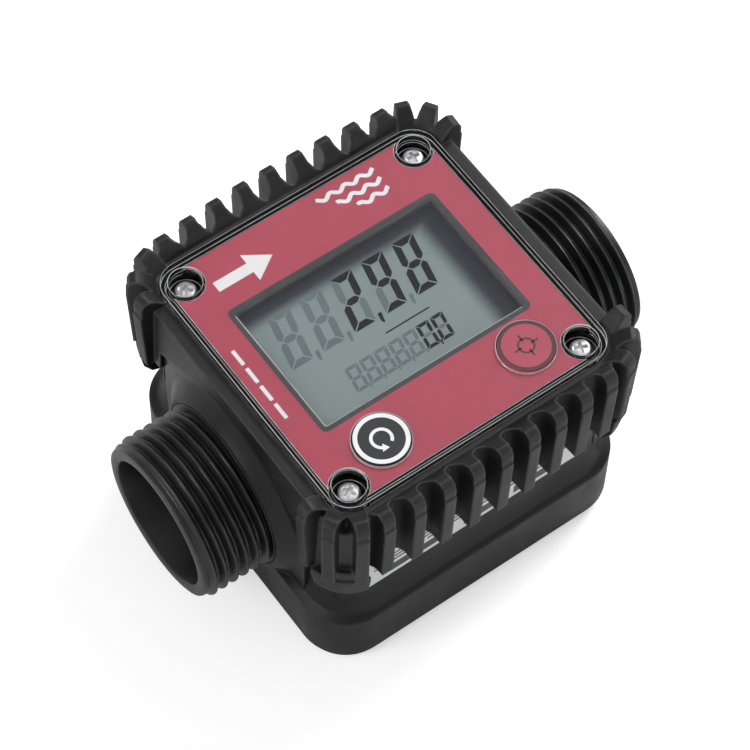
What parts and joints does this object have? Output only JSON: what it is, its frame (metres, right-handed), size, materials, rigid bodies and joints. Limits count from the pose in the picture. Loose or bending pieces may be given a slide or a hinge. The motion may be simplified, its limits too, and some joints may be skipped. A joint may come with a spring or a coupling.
{
  "type": "turbine flow meter",
  "caption": "In-line turbine flow meter for a threaded pipe, with a square display face under a clear cover, a finned guard and two push buttons.",
  "frame": {"origin": "middle of the foot's underside, below the centre of the pipe", "axes": "+X along the pipe towards the outlet, +Z out of the display face, +Y towards the top of the display"},
  "size_m": [0.1012, 0.0764, 0.056],
  "materials": {
    "housing_nylon": "satin moulded nylon",
    "guard_nylon": "soft matt moulded nylon",
    "spigot_nylon": "satin moulded nylon",
    "clear_plastic": "clear polished polycarbonate",
    "label_red": "crimson printed film",
    "frame_grey": "dark grey",
    "display_glass": "grey-green liquid crystal display",
    "board_green": "solder-masked board",
    "switch_black": "satin",
    "button_black": "black disc with a white ring",
    "button_red": "crimson with a dark ring",
    "seal_rubber": "nitrile",
    "strip_rubber": "layered conductive rubber",
    "zinc_steel": "bright zinc plate",
    "spring_steel": "bright spring steel",
    "cell_jacket": "printed steel can",
    "rotor_white": "white acetal",
    "magnet": "ferrite",
    "bush_plastic": "filled bearing plastic",
    "guide_plastic": "black acetal",
    "sensor_black": "moulded sensor case",
    "sticker_white": "white vinyl sticker"
  },
  "bodies": {
    "housing": {"meter_body": "housing_nylon", "flow_tube": "spigot_nylon", "finned_guard": "guard_nylon", "clear_cover": "clear_plastic", "cover_gasket": "seal_rubber", "face_label": "label_red", "display_frame": "frame_grey", "display_panel": "display_glass", "contact_strips": "strip_rubber", "circuit_board": "board_green", "push_switches": "switch_black", "cover_screws": "zinc_steel", "flow_sensor": "sensor_black", "battery_cells": "cell_jacket", "battery_contacts": "spring_steel", "battery_hatch": "housing_nylon", "hatch_screws": "zinc_steel", "inlet_guide": "guide_plastic", "outlet_guide": "guide_plastic", "inlet_bush": "bush_plastic", "outlet_bush": "bush_plastic", "inlet_retaining_ring": "spring_steel", "outlet_retaining_ring": "spring_steel", "rating_sticker": "sticker_white"},
    "rotor": {"turbine_rotor": "rotor_white", "rotor_magnets": "magnet", "rotor_shaft": "spring_steel"},
    "reset_key": {"reset_button": "button_black"},
    "cal_key": {"cal_button": "button_red"}
  },
  "joints": [
    {"name": "rotor_spin", "type": "hinge", "parent": "housing", "child": "rotor", "pos_m": [0, 0, 0.0268], "axis": [1, 0, 0], "continuous": true},
    {"name": "reset_press", "type": "slide", "parent": "housing", "child": "reset_key", "axis": [0, 0, -1], "range_m": [0, 0.0006], "stiffness_N_per_m": 500},
    {"name": "cal_press", "type": "slide", "parent": "housing", "child": "cal_key", "axis": [0, 0, -1], "range_m": [0, 0.0006], "stiffness_N_per_m": 500}
  ]
}
